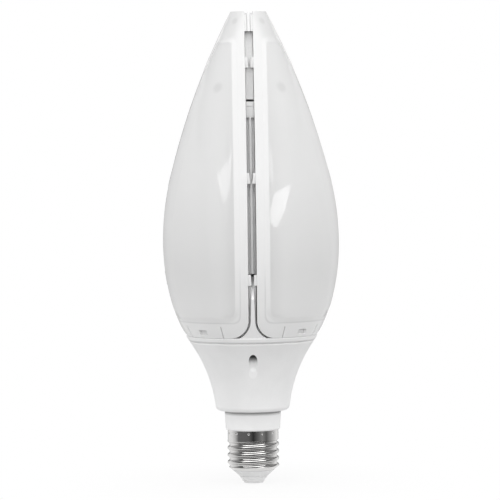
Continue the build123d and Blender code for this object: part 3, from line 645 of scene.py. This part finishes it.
housing = {
    "dark": grey(0.88),
    "light": grey(0.94),
    "roughness": 0.34,
    # painted shade deep in the screw wells
    "shade": grey(0.07),
    "wellCircle": 26.0,
    "wellRadius": 2.2,
    "wellEdge": (0.12, 0.02),  # past the radius, from clear to shaded
    "wellDark": (62.3, 66.4),  # heights over which the painted shade in the wells sets in
    "scoop": (2.4, 57.4, 3.4),  # half width, middle and half height of the painted highlight in the scoop under a well
    "scoopEdge": (1, 0.7),  # as shares of its size
    "scoopReach": (-4, -3),  # from the wells' circle
    "polish": grey(0.99),
    # painted shadow in the groove and on the neck under the funnel's edge
    "groove": (14.6, 36.0, 36.9),  # radius, foot and top of the groove under the funnel
    "grooveEdge": (1.3, 0.05, 0.2),  # its fade below, inward and above
    "grooveShade": grey(0.56),
    "rim": (71.5, 72.3),  # heights where the painted highlight on the top edge sets in
}
base = {
    "dark": grey(0.92),
    "light": grey(0.96),
    "roughness": 0.3,
    # painted shade on the snap hooks in the latch windows
    "shade": grey(0.78),
    "hook": (3.4, 76.6, 80.2),  # half width, foot and top
    "hookBlur": 0.3,
    "seam": (73.8, 73.4),  # the base is darker below these heights, at the seam over the housing
    "dust": grey(0.70),
}
crown = {
    "dark": grey(0.89),
    "light": grey(0.94),
    "roughness": 0.28,
    "shade": grey(0.78),
    "stem": (212.0, 214.0),
}
spider = {"dark": grey(0.78), "light": grey(0.84), "roughness": 0.36}
insulator = {"dark": grey(0.84), "light": grey(0.90), "roughness": 0.45, "grain": 0.5}


def housingShade(x, y, z):  # painted shade in the wells and groove, painted highlights on the scoops and rim
    h = housing
    along = abs(x).high(abs(y)) - h["wellCircle"]
    across = abs(x).low(abs(y))
    outside, inside = h["wellEdge"]
    wellMask = along.length(across).step(h["wellRadius"] + outside, h["wellRadius"] + inside)
    # painted shade in the upper part of each screw well
    well = wellMask * z.step(*h["wellDark"])
    # painted shadow in the groove under the funnel
    radius, foot, top = h["groove"]
    below, inward, above = h["grooveEdge"]
    groove = x.length(y).step(radius + inward, radius - inward)
    groove = groove * z.step(foot - below, foot) * z.step(top + above, top)
    # painted highlights in the scoops under the wells and along the top rim
    half, middle, tall = h["scoop"]
    scoop = (across / half).length((z - middle) / tall).step(*h["scoopEdge"])
    scoop = scoop * along.step(*h["scoopReach"])
    rim = z.step(*h["rim"])
    return [(scoop.high(rim), h["polish"]), (well, h["shade"]), (groove, h["grooveShade"])]


def baseShade(x, y, z):  # painted shade on the snap hooks in the latch windows, and the darker seam
    half, foot, top = base["hook"]
    blur = base["hookBlur"]
    across = abs(abs(x) - abs(y)) * math.sqrt(0.5)
    hook = across.step(half + blur, half) * z.step(foot - blur, foot) * z.step(top + blur, top)
    return [(hook, base["shade"]), (z.step(*base["seam"]), base["dust"])]


def crownShade(x, y, z):  # the stem is greyer below the top lugs
    return [(1 - z.step(*crown["stem"]), crown["shade"])]


def dress(finish, *names):
    for name in names:
        nodes[name].data.materials.clear()
        nodes[name].data.materials.append(finish)


dress(plasticFinish("housingWhite", housing, housingShade), "driver_housing")
dress(plasticFinish("baseWhite", base, baseShade), "petal_base")
dress(plasticFinish("crownWhite", crown, crownShade), "crown")
dress(plasticFinish("spiderWhite", spider), "upper_spider")
dress(plasticFinish("insulatorGrey", insulator), "cap_insulator")
print("white plastic dressed")


# nickel cap: bright plate, punch marks round the skirt, faint rub marks and stains
cap = {
    "tone": grey(0.68, 0.01),
    "dull": grey(0.60, 0.012),
    "roughness": 0.09,
    "dullRough": 0.06,
    "marks": 12,
    "markTurn": 19.2,  # degrees
    "markHeight": 25.75,
    "markSize": (0.75, 0.65),
    "markEdge": (0.3, 1.0),  # as shares of its size
    "markDeep": 0.35,
    "markRough": 0.1,
    "skirt": 13.0,  # radius
    "rub": 0.5,
    "rubStretch": (0.15, 0.15, 1.2),
    "rubEdge": (0.45, 0.75),
    "stain": 0.4,
    "stainScale": 0.3,
    "stainEdge": (0.5, 0.8),
    "stainDeep": 0.01,
}


def nickelFinish(c):
    finish, start, place = openFinish("capNickel", {"Metallic": 1.0})
    x, y, z = start.split(place)
    angle = start.maths("ARCTAN2", y, x) * (180 / math.pi) - c["markTurn"]
    pitch = 360 / c["marks"]
    turn = start.maths("FLOORED_MODULO", angle + pitch / 2, pitch) - pitch / 2
    wide, tall = c["markSize"]
    across = turn * (math.pi / 180 * c["skirt"] / wide)
    up = (z - c["markHeight"]) / tall
    mark = 1 - across.length(up).step(*c["markEdge"])
    rub = start.noise(start.stretch(place, c["rubStretch"]), 1.0, 4, 0.6)
    stain = start.noise(place, c["stainScale"], 4, 0.6)
    dull = rub.step(*c["rubEdge"]) * c["rub"] + stain.step(*c["stainEdge"]) * c["stain"]
    colour = dull.blend(c["tone"], c["dull"])
    roughness = c["roughness"] + dull * c["dullRough"] + mark * c["markRough"]
    normal = (stain * c["stainDeep"] - mark * c["markDeep"]).bump(mm)
    return closeFinish(finish, {"Base Color": colour, "Roughness": roughness, "Normal": normal})


dress(nickelFinish(cap), "cap_shell")


# other metals: drawn aluminium, tinned contact, plated screws
metal = {
    "metallic": 1.0,
    "streakShare": 0.6,
    "patchShare": 0.4,
    "patchScale": 0.2,
    "contrast": (0.25, 0.75),
    "streakRough": 0.2,
    "grain": (0.00003, 0.4),  # depth in metres and strength
}
core = {
    "dark": grey(0.80),
    "light": grey(0.90),
    "roughness": 0.42,
    "streak": (6, 6, 0.05),
    "metallic": 0.2,
}
contact = {
    "dark": grey(0.82),
    "light": grey(0.88),
    "roughness": 0.42,
    "streak": (0.6, 0.6, 0.6),
    "metallic": 0.2,
}
steel = {"dark": grey(0.55), "light": grey(0.68), "roughness": 0.3, "streak": (2, 2, 2)}


def metalFinish(name, own):
    look = metal | own
    finish, start, place = openFinish(name, {"Metallic": look["metallic"]})
    streak = start.noise(start.stretch(place, look["streak"]), 1.0, 4, 0.6)
    patch = start.noise(place, look["patchScale"], 3)
    mix = (streak * look["streakShare"] + patch * look["patchShare"]).step(*look["contrast"])
    colour = mix.blend(look["dark"], look["light"])
    roughness = look["roughness"] + (streak - 0.5) * look["streakRough"]
    normal = streak.bump(*look["grain"])
    return closeFinish(finish, {"Base Color": colour, "Roughness": roughness, "Normal": normal})


dress(metalFinish("coreAluminium", core), "heat_sink_core")
dress(metalFinish("contactTin", contact), "centre_contact")
dress(metalFinish("screwSteel", steel), "board_screws", "housing_screws")
print("metals dressed")


# inner parts, the LED boards and the driver: dark and light tone, roughness, starts of the nodes' names
inner = {
    "boardWhite": (grey(0.80), grey(0.86), 0.4, ["led_board_"]),
    "ledPhosphor": ((0.78, 0.62, 0.12, 1), (0.86, 0.72, 0.22, 1), 0.35, ["led_chips_"]),
    "circuitGreen": ((0.02, 0.09, 0.04, 1), (0.03, 0.13, 0.06, 1), 0.4, ["driver_board"]),
    "transformerTape": ((0.70, 0.52, 0.08, 1), (0.80, 0.62, 0.14, 1), 0.4, ["driver_transformer"]),
    "componentBlack": (grey(0.018), grey(0.03), 0.45, ["driver_rectifier", "driver_controller"]),
    "filmRed": ((0.28, 0.03, 0.02, 1), (0.36, 0.05, 0.03, 1), 0.3, ["driver_film_capacitor"]),
    "sleeveBlue": ((0.02, 0.03, 0.10, 1), (0.03, 0.05, 0.16, 1), 0.3, ["driver_capacitor"]),
    "ferriteGrey": (grey(0.03), grey(0.055), 0.6, ["driver_choke"]),
    "terminalGreen": ((0.03, 0.18, 0.08, 1), (0.05, 0.24, 0.11, 1), 0.4, ["output_terminal"]),
    "leadRed": ((0.40, 0.02, 0.02, 1), (0.5, 0.04, 0.03, 1), 0.4, ["live_lead"]),
    "leadBlack": (grey(0.02), grey(0.035), 0.4, ["neutral_lead"]),
    "leadWhite": (grey(0.70), grey(0.78), 0.4, ["led_leads"]),
}
innerClouds = 0.4
for name, (dark, light, roughness, starts) in inner.items():
    look = {"dark": dark, "light": light, "roughness": roughness, "cloudScale": innerClouds}
    dress(plasticFinish(name, look), *[node for node in nodes if node.startswith(tuple(starts))])
print("inner parts dressed")


# studio: white floor and world, and a card round the lamp that only shiny surfaces see
studio = {
    "zenith": 0.66,
    "horizon": 1.2,
    "ground": 0.5,
    "groundEdge": (-0.5, 0.2),  # upward part of the direction, where the ground ends
    "zenithEdge": (0.2, 0.9),
    "mirror": (0.16, 1.4),  # what shiny surfaces see, from the horizon to the zenith
    "mirrorEdge": (0.7, 0.92),
    "floorShare": 0.18,
    "floorTone": (0.95, 0.72, 0.42),  # as the camera sees it, and as it lights the lamp, near and far
    "floorNear": (0.03, 0.16),
    "floorFade": (0.02, 0.12),
    "floorSize": 6.0,
    "floorDrop": 0.0002,
    "floorRough": 0.7,
    "floorGloss": 0.1,
    "card": (  # azimuth to the right of the front, and level
        (-165, 0.45),
        (-150, 0.8),
        (-135, 1.0),
        (-108, 0.95),
        (-86, 0.62),
        (-70, 0.16),
        (-20, 0.14),
        (0, 0.03),
        (22, 0.15),
        (40, 0.28),
        (60, 0.12),
        (88, 0.42),
        (128, 1.0),
        (138, 1.0),
        (150, 0.8),
        (165, 0.45),
    ),
    "cardPath": ((0.028, 0.0004), (2.6, 0.0006), (2.6, 1.2)),  # distance and height, outward and up
    "cardSides": 24,
    "aim": 0.13,  # height that the lamps point at
    "shineDistance": 1.5,
}


def raysOf(start, kind):  # 1 for rays of one kind
    path = start.node("ShaderNodeLightPath").socket.node
    return Wire(start.tree, path.outputs["Is " + kind + " Ray"])


def seenRays(start):  # 1 for what the camera, metal or glass sees
    seen = raysOf(start, "Camera").high(raysOf(start, "Glossy"))
    return seen.high(raysOf(start, "Transmission"))


def lightWorld(s):
    world = bpy.data.worlds.new("studio")
    world.use_nodes = True
    scene.world = world
    start = Wire(world.node_tree)
    back = world.node_tree.nodes["Background"]
    up = start.split(start.node("ShaderNodeTexCoord", out=0))[2]
    level = s["ground"] + up.step(*s["groundEdge"]) * (s["horizon"] - s["ground"])
    level = level + up.step(*s["zenithEdge"]) * (s["zenith"] - s["horizon"])
    level = level + (1 - level) * seenRays(start)
    low, high = s["mirror"]
    mirror = low + up.step(*s["mirrorEdge"]) * (high - low)
    level = level + (mirror - level) * raysOf(start, "Glossy")
    start.tree.links.new(level.socket, back.inputs["Strength"])
    back.inputs["Color"].default_value = white


def stageSheet(name, finishName, points, faces):  # a sheet of the studio, and the start of its finish
    mesh = bpy.data.meshes.new(name)
    mesh.from_pydata(points, [], faces)
    sheet = bpy.data.objects.new(name, mesh)
    scene.collection.objects.link(sheet)
    finish = bpy.data.materials.new(finishName)
    finish.use_nodes = True
    mesh.materials.append(finish)
    return sheet, Wire(finish.node_tree)


def onlyShine(sheet):  # seen by shiny surfaces alone
    sheet.visible_camera = False
    sheet.visible_diffuse = False
    sheet.visible_shadow = False
    sheet.visible_transmission = False


def glow(start, colour, strength):
    return start.node("ShaderNodeEmission", {}, {"Color": colour, "Strength": strength})


def layFloor(s):
    half = s["floorSize"] / 2
    corners = [(-half, -half, 0), (half, -half, 0), (half, half, 0), (-half, half, 0)]
    floor, start = stageSheet("floor", "floorWhite", corners, [(0, 1, 2, 3)])
    floor.location.z = -s["floorDrop"]
    shader = start.tree.nodes["Principled BSDF"]
    shader.inputs["Roughness"].default_value = s["floorRough"]
    shader.inputs["Specular IOR Level"].default_value = s["floorGloss"]
    place = start.node("ShaderNodeTexCoord", out=3)
    away = start.node("ShaderNodeVectorMath", {"operation": "LENGTH"}, {0: place}, 1)
    seenTone, nearTone, farTone = (grey(tone) for tone in s["floorTone"])
    bounceTone = away.step(*s["floorNear"]).blend(nearTone, farTone)
    tone = raysOf(start, "Diffuse").blend(seenTone, bounceTone)
    start.tree.links.new(tone.socket, shader.inputs["Base Color"])
    share = s["floorShare"] * (1 - away.step(*s["floorFade"]))
    seen = seenRays(start) * (1 - share)
    plain = Wire(start.tree, shader.outputs[0])
    start.node("ShaderNodeMixShader", {}, {0: seen, 1: plain, 2: glow(start, white, 1.0)}).show()


def hangCard(s):
    first, last = s["card"][0][0], s["card"][-1][0]
    sides, rings = s["cardSides"], len(s["cardPath"])
    points, faces = [], []
    for i in range(sides + 1):
        a = math.radians(first + (last - first) * i / sides)
        points += [(away * math.sin(a), -away * math.cos(a), z) for away, z in s["cardPath"]]
    for i in range(sides):
        for corner in range(rings * i, rings * i + rings - 1):
            faces.append((corner, corner + rings, corner + rings + 1, corner + 1))
    card, start = stageSheet("card", "cardDark", points, faces)
    x, y, z = start.split(start.node("ShaderNodeTexCoord", out=3))
    turn = start.maths("ARCTAN2", x, -y) * (180 / math.pi)
    stops = [((place - first) / (last - first), grey(level)) for place, level in s["card"]]
    shade = start.node("ShaderNodeValToRGB", {"stops": stops}, {0: (turn - first) / (last - first)})
    glow(start, shade, 1.0).show()
    onlyShine(card)


# a soft light from above and a broad one in front
lamps = {  # azimuth to the right of the front, elevation, distance, width, height, radiance
    "front": (0, 25, 1.6, 2.6, 1.3, 0.42),
    "above": (5, 64, 1.5, 2.4, 0.8, 1.0),
}
capGroup = bpy.data.collections.new("cap")
capGroup.objects.link(nodes["cap_shell"])
baseGroup = bpy.data.collections.new("base")
baseGroup.objects.link(nodes["petal_base"])
# boxes that show only as a shine: on what, level, height that they face, corners by azimuth and elevation
leafCorners = ((14, 8), (37, 4.5), (45, 11), (53, 20.5), (42, 19), (33, 15.5))
shines = {
    "petalLeaf": (petalGroup, 6.0, 0.15, leafCorners),
    "petalLeft": (petalGroup, 3.8, 0.15, ((-54, 80), (-52, 28), (-39, 14), (-30, 28), (-30, 80))),
    "petalRight": (petalGroup, 3.0, 0.15, ((25, 80), (25, 27), (38, 20), (44, 32), (44, 80))),
    "capTop": (capGroup, 2.8, 0.02, ((-60, 24), (60, 24), (60, 72), (-60, 72))),
    "baseFin": (baseGroup, 6.0, 0.09, ((-12, 9), (12, 9), (12, 30), (-12, 30))),
}


def towards(azimuth, elevation):
    a, e = math.radians(azimuth), math.radians(elevation)
    return Vector((math.sin(a) * math.cos(e), -math.cos(a) * math.cos(e), math.sin(e)))


def hangLamp(name, azimuth, elevation, distance, width, tall, radiance):
    data = bpy.data.lights.new(name, "AREA")
    data.shape = "RECTANGLE"
    data.size, data.size_y = width, tall
    data.energy = radiance * math.pi * width * tall
    lamp = bpy.data.objects.new(name, data)
    away = towards(azimuth, elevation)
    lamp.location = Vector((0, 0, studio["aim"])) + away * distance
    lamp.rotation_mode = "QUATERNION"
    lamp.rotation_quaternion = (-away).to_track_quat("-Z", "Y")
    lamp.visible_glossy = False
    scene.collection.objects.link(lamp)


def hangShine(name, group, level, height, corners):
    middle = Vector((0, 0, height))
    points = [middle + towards(*corner) * studio["shineDistance"] for corner in corners]
    box, start = stageSheet(name, name, points, [tuple(range(len(points)))])
    glow(start, white, level).show()
    onlyShine(box)
    box.light_linking.receiver_collection = group


lightWorld(studio)
layFloor(studio)
hangCard(studio)
for name, place in lamps.items():
    hangLamp(name, *place)
for name, shine in shines.items():
    hangShine(name, *shine)
scene.view_settings.view_transform = "Standard"
print("studio lit")
